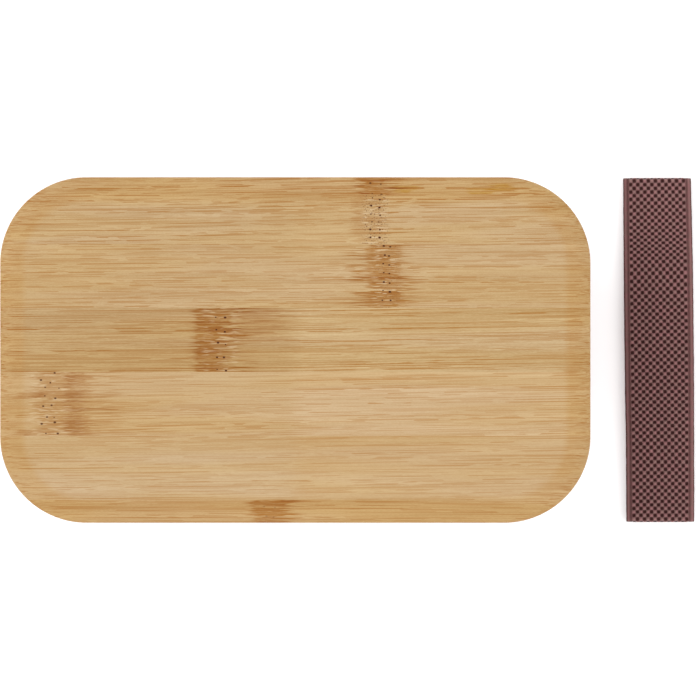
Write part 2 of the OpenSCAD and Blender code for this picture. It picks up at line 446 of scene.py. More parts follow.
class Graph:
    """Adds shader nodes to a tree and links them as they are added."""

    def __init__(self, tree):
        self.tree = tree

    def feed(self, socket, value):
        if isinstance(value, bpy.types.NodeSocket):
            self.tree.links.new(value, socket)
        else:
            socket.default_value = value

    def node(self, kind, inputs=None, **values):
        made = self.tree.nodes.new("ShaderNode" + kind)
        for key, value in values.items():
            setattr(made, key, value)
        for key, value in (inputs or {}).items():
            self.feed(made.inputs[key], value)
        return made

    def math(self, operation, a, b=0.0):
        return self.node("Math", {0: a, 1: b}, operation=operation).outputs[0]

    def plus(self, a, b):
        return self.math("ADD", a, b)

    def minus(self, a, b):
        return self.math("SUBTRACT", a, b)

    def product(self, first, *others):
        for other in others:
            first = self.math("MULTIPLY", first, other)
        return first

    def total(self, *parts):
        """Adds up values, each times its share."""
        result = 0.0
        for value, share in parts:
            inputs = {0: value, 1: share, 2: result}
            result = self.node("Math", inputs, operation="MULTIPLY_ADD").outputs[0]
        return result

    def ease(self, value, low, high, start=0.0, end=1.0):
        """Goes smoothly from start to end as the value goes from low to high."""
        inputs = {"Value": value, 1: low, 2: high, 3: start, 4: end}
        return self.node("MapRange", inputs, interpolation_type="SMOOTHSTEP").outputs[0]

    def blend(self, factor, a, b, blend_type="MIX"):
        """Mixes two colours."""
        mix = self.node("Mix", data_type="RGBA", blend_type=blend_type)
        self.feed(mix.inputs[0], factor)
        for socket, colour in ((mix.inputs[6], a), (mix.inputs[7], b)):
            is_colour = not isinstance(colour, bpy.types.NodeSocket)
            self.feed(socket, (*colour, 1) if is_colour else colour)
        return mix.outputs[2]

    def tint(self, factor, colour, by):
        """Multiplies a colour by another, as far as the factor says."""
        return self.blend(factor, colour, by, "MULTIPLY")

    def vector(self, x=0.0, y=0.0, z=0.0):
        return self.node("CombineXYZ", {"X": x, "Y": y, "Z": z}).outputs[0]

    def axes(self, vector):
        return self.node("SeparateXYZ", {0: vector}).outputs

    def shift(self, vector, by):
        return self.node("VectorMath", {0: vector, 1: by}, operation="ADD").outputs[0]

    def stretch(self, vector, scale, offset=(0, 0, 0), turn=0.0):
        """Scales a vector, turns it about Z by an angle in degrees, and shifts it."""
        inputs = {
            "Vector": vector,
            "Location": offset,
            "Rotation": (0, 0, math.radians(turn)),
            "Scale": scale,
        }
        return self.node("Mapping", inputs).outputs[0]

    def place(self, scale=1.0):
        """The point on the object, in its own coordinates times a scale."""
        return self.stretch(self.node("TexCoord").outputs["Object"], (scale,) * 3)

    def noise(self, vector, scale, detail=2.0, roughness=0.5, offset=(0, 0, 0)):
        """Noise from 0 to 1 with its own scale along each axis."""
        inputs = {
            "Vector": self.stretch(vector, scale, offset),
            "Scale": 1.0,
            "Detail": detail,
            "Roughness": roughness,
        }
        return self.node("TexNoise", inputs).outputs[0]

    def patches(self, vector, scale, limits, detail=1, roughness=0.5, offset=(0, 0, 0)):
        """Noise that is eased between limits: low, high, and if wanted start and end."""
        return self.ease(self.noise(vector, scale, detail, roughness, offset), *limits)


def new_material(name, values):
    """A material, with even values for its shader's sockets, its graph and its shader."""
    material = bpy.data.materials.new(name)
    material.use_nodes = True
    shader = material.node_tree.nodes["Principled BSDF"]
    for label, value in values.items():
        shader.inputs[label].default_value = value
    return material, Graph(material.node_tree), shader


def bump(graph, shader, height, strength, distance):
    """Raises the surface by a height pattern."""
    made = graph.node("Bump", {"Height": height, "Strength": strength, "Distance": distance})
    graph.feed(shader.inputs["Normal"], made.outputs[0])


def new_group(name, inputs, outputs):
    """A shader node group, with its graph and its input and output nodes."""
    tree = bpy.data.node_groups.new(name, "ShaderNodeTree")
    for label, kind in inputs.items():
        tree.interface.new_socket(label, in_out="INPUT", socket_type="NodeSocket" + kind)
    for label in outputs:
        tree.interface.new_socket(label, in_out="OUTPUT", socket_type="NodeSocketFloat")
    entry = tree.nodes.new("NodeGroupInput")
    leave = tree.nodes.new("NodeGroupOutput")
    return tree, Graph(tree), entry.outputs, leave.inputs


def grain_group():
    """The fibres of bamboo, on a vector in millimetres whose X runs along the cane. Contrast
    makes the fine lines stronger, as where sanding cuts across the fibres."""
    if "bamboo_grain" in bpy.data.node_groups:
        return bpy.data.node_groups["bamboo_grain"]
    inputs = {"Vector": "Vector", "Contrast": "Float"}
    tree, graph, given, wanted = new_group("bamboo_grain", inputs, ["Tone", "Streak"])
    wander = graph.noise(given["Vector"], (0.007, 0.02, 0.02), 1)
    lift = graph.product(graph.minus(wander, 0.5), 1.5)
    place = graph.shift(given["Vector"], graph.vector(y=lift))

    fine = graph.noise(place, (0.02, 5.6, 5.6), 1)
    short = graph.noise(place, (0.085, 4.6, 4.6), 1, offset=(4, 8, 2))
    ends = graph.noise(place, (1.1, 4.8, 4.8), 1, offset=(3, 6, 9))
    broad = graph.noise(place, (0.014, 0.3, 0.3), 2, offset=(5, 3, 1))
    tone = graph.total((fine, 0.42), (short, 0.14), (ends, 0.26), (broad, 0.38))
    middle = 0.6
    swing = graph.math("DIVIDE", 0.43, graph.plus(given["Contrast"], 1))
    tone = graph.ease(tone, graph.minus(middle, swing), graph.plus(middle, swing))
    graph.feed(wanted["Tone"], tone)

    bold = graph.patches(place, (0.012, 3.9, 3.9), (0.58, 0.64), offset=(2, 7, 4))
    bold_cut = graph.patches(place, (0.06, 0.5, 0.5), (0.42, 0.46), offset=(7, 2, 5))
    thin = graph.patches(place, (0.016, 5.8, 5.8), (0.56, 0.61), offset=(9, 1, 6))
    thin_cut = graph.patches(place, (0.1, 0.9, 0.9), (0.45, 0.49), offset=(1, 9, 4))
    streaks = graph.product(bold, bold_cut), graph.product(thin, thin_cut)
    breaks = graph.ease(ends, 0.35, 0.6, 0.8, 1)
    strength = graph.total((given["Contrast"], 0.7), (0.78, 1))
    streak = graph.product(graph.math("MAXIMUM", *streaks), breaks, strength)
    graph.feed(wanted["Streak"], streak)
    return tree


KNOT_LABELS = ("Centre", "Heart", "Core", "Reach Left", "Reach Right", "Low", "High")
KNOT_LABELS += ("Pore Gap", "Pore Row", "Pore Drift", "Specks")


def knot_flames(graph, given, x):
    """The brown of a knot: a broken heart, and the flames that run out of it both ways."""
    vector, core = given["Vector"], given["Core"]
    along = graph.minus(x, given["Heart"])
    distance = graph.math("ABSOLUTE", along)
    span = graph.minus(given["Reach Right"], given["Reach Left"])
    reach = graph.total((given["Reach Left"], 1), (span, graph.math("GREATER_THAN", along, 0)))
    ragged = graph.patches(vector, (0.03, 1, 1), (0.38, 0.56, 0.1, 1), 2, 0.6, (3, 2, 8))
    threads = graph.patches(vector, (0.06, 2.5, 2.5), (0.47, 0.57), 2, 0.6, (5, 9, 1))
    far = graph.total((core, 1), (reach, ragged))
    fade = graph.ease(distance, graph.product(core, 0.5), far, 1.7, 0)
    flames = graph.product(threads, graph.math("MINIMUM", fade, 0.9))
    pieces = graph.patches(vector, (0.28, 2.3, 2.3), (0.36, 0.6, 0.45, 0.95), 2, 0.6, (1, 5, 2))
    mass = graph.patches(vector, (0.12, 0.3, 0.3), (0.36, 0.58, 0.62, 1), 1, 0.5, (7, 5, 9))
    edge = graph.product(core, graph.plus(ragged, 0.6))
    whole = graph.ease(distance, graph.product(edge, 0.6), edge, 1, 0)
    return graph.math("MAXIMUM", graph.product(whole, pieces, mass, 0.9), flames)


def knot_flecks(graph, vector):
    """The pale flecks of a knot, in a swirl."""
    bent = graph.noise(vector, (0.12, 0.15, 0.15), 1, 0.5, (8, 1, 3))
    swirl = graph.shift(vector, graph.vector(y=graph.product(bent, 1.4)))
    return graph.patches(swirl, (0.2, 2.5, 2.5), (0.58, 0.66), offset=(6, 4, 3))


def knot_pores(graph, given, past_centre, y):
    """The pores of a knot: a row on each side of its centre, each pore a little astray."""
    is_right = graph.math("GREATER_THAN", past_centre, 0)
    distance = graph.math("ABSOLUTE", past_centre)
    row = graph.math("DIVIDE", y, given["Pore Row"])
    row = graph.total((row, 1), (is_right, 0.1))
    cell = graph.vector(graph.math("FLOOR", row), graph.plus(is_right, given["Centre"]))
    chance = graph.node("TexWhiteNoise", {"Vector": cell}, noise_dimensions="2D").outputs["Color"]
    stray = graph.axes(graph.shift(chance, (-0.5, -0.5, -0.5)))
    drift = given["Pore Drift"]
    half_gap = graph.product(given["Pore Gap"], 0.5)
    across = graph.total((distance, 0.75), (half_gap, -0.75), (stray["X"], drift))
    up = graph.product(graph.minus(graph.math("FRACT", row), 0.5), given["Pore Row"])
    up = graph.total((up, 1), (stray["Y"], graph.product(drift, 0.6)))
    radius = graph.math("SQRT", graph.total((across, across), (up, up)))
    size = graph.total((stray["Z"], 0.26), (0.36, 1))
    return graph.ease(radius, graph.product(size, 0.5), size, 1, 0)


def knot_group():
    """One knot: the band across a strip where the cane had a joint. A brown heart breaks up
    into thin flames along the fibres. Pale flecks and two rows of pores lie round its centre."""
    if "bamboo_knot" in bpy.data.node_groups:
        return bpy.data.node_groups["bamboo_knot"]
    inputs = {"Vector": "Vector", **{label: "Float" for label in KNOT_LABELS}}
    tree, graph, given, wanted = new_group("bamboo_knot", inputs, ["Brown", "Pale", "Pore"])
    vector, core = given["Vector"], given["Core"]
    low, high = given["Low"], given["High"]
    place = graph.axes(vector)
    is_above = graph.ease(place["Y"], low, graph.plus(low, 0.5))
    is_below = graph.ease(place["Y"], graph.minus(high, 0.5), high, 1, 0)
    past_centre = graph.minus(place["X"], given["Centre"])
    distance = graph.math("ABSOLUTE", past_centre)
    zone = graph.ease(distance, graph.product(core, 0.7), graph.product(core, 1.3), 1, 0)
    specks = graph.patches(vector, (2.2, 2.6, 2.6), (0.66, 0.74), 0, offset=(4, 2, 7))
    specks = graph.product(specks, zone, given["Specks"])
    looks = {
        "Brown": knot_flames(graph, given, place["X"]),
        "Pale": graph.product(knot_flecks(graph, vector), zone),
        "Pore": graph.math("MAXIMUM", knot_pores(graph, given, past_centre, place["Y"]), specks),
    }
    for label, value in looks.items():
        graph.feed(wanted[label], graph.product(value, is_above, is_below))
    return tree


def border_distance(graph, place):
    """How far in from the lid's outline a point lies, seen from above, in millimetres."""
    excess = [
        graph.minus(graph.math("ABSOLUTE", place[axis]), centre / MM)
        for axis, centre in zip("XY", corner_centre())
    ]
    squares = [graph.math("POWER", graph.math("MAXIMUM", value, 0), 2) for value in excess]
    from_corner = graph.math("SQRT", graph.plus(*squares))
    inner = graph.math("MINIMUM", graph.math("MAXIMUM", *excess), 0)
    return graph.minus(settings().lid.corner_radius / MM, graph.plus(from_corner, inner))


def bamboo(name, drift, grain, tones, knots):
    """Sanded bamboo. drift moves the fibres, and grain says how much shorter than usual they
    look, how they slope, in degrees, and how much stronger they stand out. tones are what the
    colour is multiplied by in the strip's left half and right half."""
    look = settings().bamboo
    material, graph, shader = new_material(name, {"Specular IOR Level": 0.18})
    millimetres = graph.place(1 / MM)
    place = graph.axes(millimetres)
    # The fibres hardly change with height on the rounded border, where they would fray.
    crease = settings().lid.side_top / MM - 0.8
    above = graph.math("MAXIMUM", graph.minus(place["Z"], crease), 0)
    height = graph.minus(place["Z"], graph.product(above, 0.85))
    level = graph.vector(place["X"], place["Y"], height)
    shorter, slope, contrast = grain
    fibres = graph.stretch(level, (shorter, 1, 1), drift, -slope)
    zone = look.border_zone / MM
    border = graph.ease(border_distance(graph, place), zone * 0.65, zone, 1, 0)
    contrast = graph.plus(graph.product(border, look.border_contrast), contrast)
    lines = graph.node("Group", node_tree=grain_group())
    graph.feed(lines.inputs["Vector"], fibres)
    graph.feed(lines.inputs["Contrast"], contrast)

    colour = graph.blend(lines.outputs["Tone"], look.deep, look.pale)
    colour = graph.blend(lines.outputs["Streak"], colour, look.streak)
    tone = graph.blend(graph.ease(place["X"], -5, 5), *tones)
    tone = graph.blend(graph.product(border, 0.6), tone, (0.975, 0.965, 0.95))
    colour = graph.tint(1.0, colour, tone)
    colour = graph.tint(border, colour, look.border_tint)
    hue = graph.patches(fibres, (0.012, 0.12, 0.12), (0.38, 0.62), offset=(6, 2, 8))
    colour = graph.tint(hue, colour, look.golden)

    relief = graph.product(lines.outputs["Streak"], -0.6)
    for sizes, shares, tint in knots:
        knot = graph.node("Group", node_tree=knot_group())
        graph.feed(knot.inputs["Vector"], millimetres)
        for label, value in zip(KNOT_LABELS, sizes):
            knot.inputs[label].default_value = value
        brown, pale, pores = (graph.product(knot.outputs[k], shares[k]) for k in range(3))
        colour = graph.tint(brown, colour, tint or look.knot)
        colour = graph.blend(pale, colour, look.pale)
        colour = graph.blend(pores, colour, look.pore)
        relief = graph.minus(relief, graph.product(pores, 0.3))

    graph.feed(shader.inputs["Base Color"], colour)
    graph.feed(shader.inputs["Roughness"], graph.ease(lines.outputs["Tone"], 0, 1, 0.5, 0.62))
    fuzz = graph.noise(fibres, (0.4, 5, 5), 2)
    bump(graph, shader, graph.plus(relief, graph.product(fuzz, 0.5)), 0.3, 0.04 * MM)
    return material


def moulded_plastic(name):
    """Polypropylene from a mould with a fine spark-eroded grain."""
    material, graph, shader = new_material(name, {"Specular IOR Level": 0.42})
    place = graph.place()
    colour = settings().container.colour
    deep = [0.93 * c for c in colour]
    pale = [min(1, 1.05 * c) for c in colour]
    flow = graph.patches(place, (14, 14, 22), (0.3, 0.7), 3)
    graph.feed(shader.inputs["Base Color"], graph.blend(flow, deep, pale))
    grain = graph.noise(place, (3200, 3200, 3200), 2, 0.6)
    coarse = graph.noise(place, (900, 900, 900), 1)
    graph.feed(shader.inputs["Roughness"], graph.ease(coarse, 0.25, 0.75, 0.44, 0.58))
    bump(graph, shader, graph.plus(grain, coarse), 0.22, 0.06 * MM)
    return material


def silicone(name):
    """Milky silicone with a faint moulded haze."""
    values = {"Subsurface Weight": 0.25, "Subsurface Scale": 1 * MM}
    material, graph, shader = new_material(name, values)
    place = graph.place()
    colour = settings().container.seal_colour
    haze = graph.patches(place, (60, 60, 60), (0.3, 0.7), 3)
    graph.feed(shader.inputs["Base Color"], graph.blend(haze, [0.88 * c for c in colour], colour))
    dust = graph.noise(place, (1500, 1500, 1500), 2)
    graph.feed(shader.inputs["Roughness"], graph.ease(dust, 0.3, 0.7, 0.36, 0.5))
    bump(graph, shader, dust, 0.15, 0.03 * MM)
    return material


# How the yarn's dye varies, as what the light yarn's colour is multiplied by.
PINK_YARN = (1.05, 0.97, 1.0)
GREY_YARN = (0.93, 1.01, 0.96)


def woven_elastic(name):
    """Elastic whose colour follows the relief of its weave, as painted shade: dark down in
    the gaps and on the edges, the yarn's own colour on the crowns. It has fibres along the yarns.
    """
    look = settings().band
    values = {"Specular IOR Level": 0.25, "Sheen Weight": 0.25, "Sheen Roughness": 0.5}
    material, graph, shader = new_material(name, values)
    relief = graph.node("Attribute", attribute_name="relief").outputs["Fac"]
    place = graph.place(1 / MM)
    fibres = graph.noise(place, (5, 1.6, 3), 3, 0.6)
    light = look.light_yarn
    shades = (
        (0.88, graph.patches(place, (0.2, 0.05, 0.2), (0.3, 0.7), 2)),
        (0.8, graph.ease(fibres, 0.3, 0.75)),
    )
    for share, lightness in shades:
        light = graph.blend(lightness, [share * c for c in look.light_yarn], light)
    dye = graph.patches(place, (0.9, 0.6, 0.9), (0.4, 0.6), offset=(2, 2, 2))
    light = graph.tint(1.0, light, graph.blend(dye, PINK_YARN, GREY_YARN))
    # Painted shade: the colour runs from the gap shade, low in the weave, to the yarn's colour on the
    # crowns.
    colour = graph.blend(graph.ease(relief, 0.26, 0.95), look.gap_shade, light)
    graph.feed(shader.inputs["Base Color"], colour)
    fuzz = graph.noise(place, (12, 5, 8), 2)
    graph.feed(shader.inputs["Roughness"], graph.ease(fuzz, 0.3, 0.7, 0.78, 0.95))
    bump(graph, shader, graph.plus(fibres, fuzz), 0.4, 0.08 * MM)
    return material


def spun_thread(name):
    """Twisted polyester thread, painted darker in the grooves between its plies as shade."""
    thread = settings().band.thread
    material, graph, shader = new_material(name, {"Roughness": 0.6, "Sheen Weight": 0.2})
    turned = graph.stretch(graph.place(), (6000, 6000, 6000), turn=35)
    wave = {"Vector": turned, "Scale": 0.5, "Distortion": 0.6}
    plies = graph.node("TexWave", wave).outputs["Fac"]
    # Painted shade: the grooves between the plies are painted darker.
    colour = graph.blend(plies, [0.6 * c for c in thread], thread)
    graph.feed(shader.inputs["Base Color"], colour)
    bump(graph, shader, plies, 0.5, 0.05 * MM)
    return material


# ---------------------------------------------------------------- the pieces


class LUNCHBOX_OT_container(bpy.types.Operator):
    """Models the moulded container, with the ribs of the divider's channel"""

    bl_idname = "lunchbox.container"
    bl_label = "Container"

    def execute(self, context):
        size = settings().container
        low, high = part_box("container")
        rim = high.z
        under_rim = rim - size.rim_height
        neck = under_rim - size.rim_bead
        lead_in = rim - size.mouth_chamfer
        flat = size.base_round
        mouth_round = 0.3 * MM
        section = rounded(
            [
                (flat, low.z, 0),
                (drafted(wall_radius(), low.z), low.z, size.base_round),
                (drafted(wall_radius(), neck), neck, 1 * MM),
                (rim_radius(), under_rim, 0.5 * MM),
                (rim_radius(), rim, size.rim_round),
                (mouth_radius() + size.mouth_chamfer, rim, mouth_round),
                (drafted(mouth_radius(), lead_in), lead_in, mouth_round),
                (drafted(mouth_radius(), size.floor), size.floor, size.bowl_round),
                (flat, size.floor, 0),
            ]
        )
        piece = sweep_round("container_moulding", section)
        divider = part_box("divider")
        middle = (divider[0].x + divider[1].x) / 2
        for side in (-1, 1):
            merge_into(piece, self.channel_rib(middle + side * (size.channel + size.rib) / 2))
        finish(piece, moulded_plastic("container_plastic"), "container", "container", "container")
        return {"FINISHED"}

    def channel_rib(self, x):
        """A rib that runs down one long wall, across the floor and up the other. Its root
        reaches into the wall and the floor."""
        size = settings().container
        root, edge_round = 0.5 * MM, 0.3 * MM
        outer = divider_outline(-root, size.floor - root, size.bowl_round + root, size.rib_top)
        inner = divider_outline(
            size.rib, size.floor + size.rib, size.bowl_round - size.rib, size.rib_top
        )
        return upright_plate("channel_rib", outer + inner[::-1], x, size.rib, edge_round)


def divider_outline(side_inset, floor, corner_round, top):
    """An open U across the box, (y, z), that follows the bowl at an inset from its walls."""
    reach = corner_centre()[1]
    radius = mouth_radius() - side_inset
    tops = reach + drafted(radius, top)
    feet = reach + drafted(radius, floor)
    bends = [(-feet, floor, corner_round), (feet, floor, corner_round)]
    return rounded([(-tops, top, 0), *bends, (tops, top, 0)], 8)


class LUNCHBOX_OT_divider(bpy.types.Operator):
    """Models the lift-out divider, a plate with a round grip along its top"""

    bl_idname = "lunchbox.divider"
    bl_label = "Divider"

    def execute(self, context):
        size = settings().container
        low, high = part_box("divider")
        middle = (low.x + high.x) / 2
        grip = (high.x - low.x) / 2
        height = high.z - grip
        corner_round, edge_round, end_gap = size.bowl_round + 1 * MM, 0.45 * MM, 9 * MM
        outline = divider_outline(size.side_gap, low.z, corner_round, height)
        piece = upright_plate("divider_plate", outline, middle, size.plate, edge_round)
        half_length = corner_centre()[1] + drafted(mouth_radius(), height) - end_gap
        merge_into(piece, self.grip_bar(Vector((middle, 0, height)), grip, half_length))
        edit(piece)
        weld()
        finish(piece, moulded_plastic("divider_plastic"), "divider", "divider", "divider")
        return {"FINISHED"}

    def grip_bar(self, centre, radius, half_length):
        """A round bar along Y with domed ends, from a ball whose halves are pulled apart."""
        deselect()
        bpy.ops.mesh.primitive_uv_sphere_add(
            segments=32, ring_count=16, radius=radius, location=centre, rotation=(math.pi / 2, 0, 0)
        )
        bar = bpy.context.object
        settle(bar)
        edit(bar)
        for side in (1, -1):
            pick("verts", lambda v: v.co.y * side > NEAR)
            move((0, side * (half_length - radius), 0))
        close()
        return bar


# What each strip's colour is multiplied by, in its left half and in its right half.
UPPER_TONES = {
    1: ((0.96, 0.955, 0.94), (0.99, 0.985, 0.97)),
    2: ((0.97, 0.96, 0.93), (0.985, 0.98, 0.96)),
    3: ((0.885, 0.845, 0.75), (0.99, 1.0, 0.98)),
    4: ((0.99, 0.975, 0.94), (1.05, 1.06, 1.1)),
    5: ((1.0, 1.01, 1.05), (1.01, 1.0, 0.99)),
    6: ((0.98, 0.95, 0.87), (0.98, 0.95, 0.87)),
}
# How much shorter than usual each strip's fibres look, how they slope, in degrees, and how
# much stronger than usual they stand out.
UPPER_GRAIN = {
    1: (1.4, 0.6, 0.2),
    2: (1.25, 0.5, 0),
    3: (0.75, 0.9, 0.3),
    4: (1.05, 1.1, -0.05),
    5: (0.9, 0.6, -0.12),
    6: (0.9, 0, 0),
}
# What the colour is multiplied by in an amber stain, and in the faint tail of a knot.
AMBER = (0.87, 0.72, 0.24)
FAINT = (0.7, 0.45, 0.22)


def knot(
    centre, core, reach, across, shares, heart=None, gap=2.5, row=3, drift=0.8, specks=0, tint=None
):
    """A knot, in millimetres: the X of its centre and of its brown heart, half the heart's
    length, how far its flames reach left and right, the two Y between which it lies, and its
    pores' gap, pitch and drift. shares say how strong its brown, its flecks and its pores are."""
    heart = centre if heart is None else heart
    return (centre, heart, core, *reach, *across, gap, row, drift, specks), shares, tint


# Strip 1 has one knot, strong on the border and pale on the face, and three amber stains.
# The knots of strips 3 and 4 have faint tails, and strip 4's shows again at the lid's end.
UPPER_KNOTS = {
    1: (
        knot(28, 5.5, (4, 9), (53.6, 62), (1, 0.1, 0.8), 27.5, 3, 3.3),
        knot(27.75, 4.5, (5, 4), (36.5, 54), (0.38, 0.8, 1), 25.5, 2.65, 2.7, specks=0.8),
        knot(37.5, 4, (2, 3), (54.2, 57.2), (0.9, 0, 0), tint=AMBER),
        knot(64.5, 4, (2, 3), (53.8, 56.6), (0.9, 0, 0), tint=AMBER),
        knot(71.5, 4.5, (2, 3), (54.8, 58), (0.9, 0, 0), tint=AMBER),
    ),
    2: (knot(31.8, 5, (15, 11), (14, 37), (0.95, 0.7, 1), 31, 2.4, 3.15, specks=0.3),),
    3: (
        knot(-25.8, 6, (3, 14), (-8, 15), (0.98, 0.55, 1), -28.5, 2.6, 4.6, 1),
        knot(-14, 8, (2, 8), (3, 15), (0.42, 0.1, 0), tint=FAINT),
    ),
    4: (
        knot(-85.3, 7, (4, 6), (-30, -7), (0.58, 0.6, 0.9), -82, 3.2, 3, 2.6),
        knot(-77, 4, (3, 17), (-30, -7), (0.55, 0.2, 0), -75.5),
        knot(-93, 4, (3, 4), (-17, -14.5), (0.6, 0, 0), -92),
        knot(-93, 4, (3, 4), (-31, -27.5), (0.6, 0, 0), -92),
    ),
    5: (),
    6: (knot(-9, 4.5, (6, 10), (-62, -51), (0.95, 0, 0.3), gap=3, row=3.5),),
}


class LUNCHBOX_OT_upper_strips(bpy.types.Operator):
    """Shapes the upper ply of the lid as one board and saws it into its glued strips"""

    bl_idname = "lunchbox.upper_strips"
    bl_label = "Upper ply"

    def execute(self, context):
        size = settings().lid
        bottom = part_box(UPPER_STRIPS[0])[0].z
        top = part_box(UPPER_STRIPS[2])[1].z
        flat = size.corner_radius - size.border
        section = rounded(
            [
                (flat / 2, bottom, 0),
                (size.corner_radius, bottom, size.edge_round),
                (size.corner_radius, self.border_height(top, 1), size.crease_round),
                (size.corner_radius - size.border * 0.25, self.border_height(top, 0.75), 0),
            ]
        )
        section += [
            Vector((flat + size.border * share, self.border_height(top, share)))
            for share in (0.625, 0.5, 0.375, 0.25, 0.125, 0)
        ]
        section.append(Vector((flat / 2, top)))
        board = sweep_round("upper_board", section)
        for k, node, strip in saw(board, UPPER_STRIPS, "upper_strip"):
            drift = (170 * k, 31 * k, 12 * k)
            look = UPPER_GRAIN[k], UPPER_TONES[k], UPPER_KNOTS[k]
            material = bamboo(f"bamboo_upper_{k}", drift, *look)
            finish(strip, material, "lid", "bamboo_upper", node)
        return {"FINISHED"}

    def border_height(self, top, share):
        """Height of the border at a share of its width out from the flat."""
        size = settings().lid
        return top - size.border_arc + math.sqrt(size.border_arc**2 - (size.border * share) ** 2)


class LUNCHBOX_OT_lower_strips(bpy.types.Operator):
    """Shapes the lower ply, the plug with the seal's groove, and saws it into its strips"""

    bl_idname = "lunchbox.lower_strips"
    bl_label = "Lower ply"

    def execute(self, context):
        size = settings().lid
        low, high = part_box(LOWER_STRIPS[2])
        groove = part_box("lid_seal")
        plug = size.plug_radius
        half_flat = size.groove_radius / 2
        edge_round, groove_round = 0.3 * MM, 0.15 * MM
        section = rounded(
            [
                (half_flat, low.z, 0),
                (plug - size.plug_chamfer, low.z, edge_round),
                (plug, low.z + size.plug_chamfer, edge_round),
                (plug, groove[0].z, groove_round),
                (size.groove_radius, groove[0].z, 0),
                (size.groove_radius, groove[1].z, 0),
                (plug, groove[1].z, groove_round),
                (plug, high.z, 0),
                (half_flat, high.z, 0),
            ]
        )
        board = sweep_round("lower_board", section)
        for k, node, strip in saw(board, LOWER_STRIPS, "lower_strip"):
            drift = (97 * k, 55 * k, 40 + 9 * k)
            grain = (0.9 + 0.1 * k, 0.3 * k - 0.9, 0.1)
            tone = (0.97 - 0.02 * (k % 2),) * 3
            material = bamboo(f"bamboo_lower_{k}", drift, grain, (tone, tone), ())
            finish(strip, material, "lid", "bamboo_lower", node)
        return {"FINISHED"}


class LUNCHBOX_OT_seal(bpy.types.Operator):
    """Models the silicone ring, with three lips turned up towards the mouth"""

    bl_idname = "lunchbox.seal"
    bl_label = "Seal"

    def execute(self, context):
        size = settings().lid
        low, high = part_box("lid_seal")
        tip, root_round, tip_round = 0.1 * MM, 0.1 * MM, 0.03 * MM
        corners = [(size.groove_radius, low.z, 0)]
        middle = low.z + (high.z - low.z - size.lip_thickness) / 2
        for height in (low.z, middle, high.z - size.lip_thickness):
            reach = drafted(mouth_radius(), height) - size.lip_clearance
            corners += [
                (size.plug_radius, height, root_round),
                (reach, height + size.lip_rise - tip, tip_round),
                (reach, height + size.lip_rise, tip_round),
                (size.plug_radius, height + size.lip_thickness, root_round),
            ]
        corners.append((size.groove_radius, high.z, 0))
        ring = sweep_round("seal_ring", rounded(corners, 2), is_ring=True)
        finish(ring, silicone("seal_silicone"), "lid", "seal", "lid_seal", angle=40)
        return {"FINISHED"}


# How light the elastic's two smooth edges are painted, as a share of its crowns' lightness: below 1
# is painted shade, more on the second edge.
SELVEDGE_SHADE = (0.97, 0.88)


def add_selvedge(side, start, thickness, pit, crown):
    """Extrudes the smooth edge from one side of the weave, and folds it round onto the back."""
    width = settings().band.selvedge
    rim = start + width
    pick("edges", lambda e: all(v.co.y * side > start - NEAR for v in e.verts))
    outline = (
        (start, -crown),
        (start + 0.12 * width, -crown - 0.2 * pit),
        (start + 0.26 * width, -crown - 0.15 * pit),
        (start + 0.38 * width, -crown),
        (start + 0.66 * width, -0.55 * crown),
        (rim - 0.12 * width, -1.3 * crown),
        (rim, -0.35 * thickness),
        (rim, -0.75 * thickness),
        (rim - 0.15 * width, -thickness),
        (start - 0.5 * width, -thickness),
    )
    for here, there in zip(outline, outline[1:]):
        extrude((0, side * (there[0] - here[0]), there[1] - here[1]))


def woven_strip(name, rows, thickness, pit, crown):
    """A strip of knotted weave, flat along X from the origin, with its crowns at z = 0 and its
    ends open. Its knots and gaps alternate as on a chessboard, between two smooth selvedges."""
    size = settings().band
    low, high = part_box("elastic_band")
    half_width = (high.x - low.x) / 2 - size.selvedge
    cell = (size.pitch, 2 * half_width / size.columns)
    deselect()
    bpy.ops.mesh.primitive_grid_add(
        x_subdivisions=rows, y_subdivisions=size.columns, size=1, location=(0.5, 0, -crown)
    )
    strip = bpy.context.object
    strip.name = strip.data.name = name
    settle(strip)
    edit(strip)
    pick_all()
    bpy.ops.transform.resize(value=(rows * cell[0], 2 * half_width, 1), center_override=(0, 0, 0))

    def is_knot(face):
        centre = face.calc_center_median()
        return (int(centre.x / cell[0]) + int((centre.y + half_width) / cell[1])) % 2 == 0

    def is_cell(face):
        near_middle = abs(face.calc_center_median().y) < half_width
        return near_middle and face.calc_area() > 0.9 * cell[0] * cell[1]

    def is_on_back(edge):
        first, second = (v.co for v in edge.verts)
        on_back = abs(first.z + thickness) < NEAR and abs(second.z + thickness) < NEAR
        return on_back and abs(first.y - second.y) < NEAR

    for side in (1, -1):
        add_selvedge(side, half_width, thickness, pit, crown)
    pick("faces", lambda f: is_cell(f) and not is_knot(f))
    bpy.ops.mesh.inset(thickness=0.1 * cell[1], depth=-pit, use_individual=True)
    pick("faces", lambda f: is_cell(f) and is_knot(f))
    bpy.ops.mesh.inset(thickness=0.37 * cell[1], depth=crown, use_individual=True)
    pick("edges", lambda e: e.is_boundary and is_on_back(e))
    bpy.ops.mesh.bridge_edge_loops()
    face_outwards()
    close()
    mark_relief(strip, pit + crown)
    return strip


def mark_relief(strip, depth):
    """Stores how high each point stands, from 0 down in the gaps to 1 on the crowns, times
    the smooth edges' painted shade there. The elastic's material paints shade from it.
    """
    relief = strip.data.attributes.new("relief", "FLOAT", "POINT")
    weave = max(abs(v.co.y) for v in strip.data.vertices) - settings().band.selvedge
    for vertex, item in zip(strip.data.vertices, relief.data):
        height = min(1, max(0, 1 + vertex.co.z / depth))
        is_selvedge = abs(vertex.co.y) > weave + NEAR
        # Painted shade: the smooth edges are marked lower than they stand, so they are painted
        # darker.
        item.value = height * (SELVEDGE_SHADE[vertex.co.y > 0] if is_selvedge else 1)


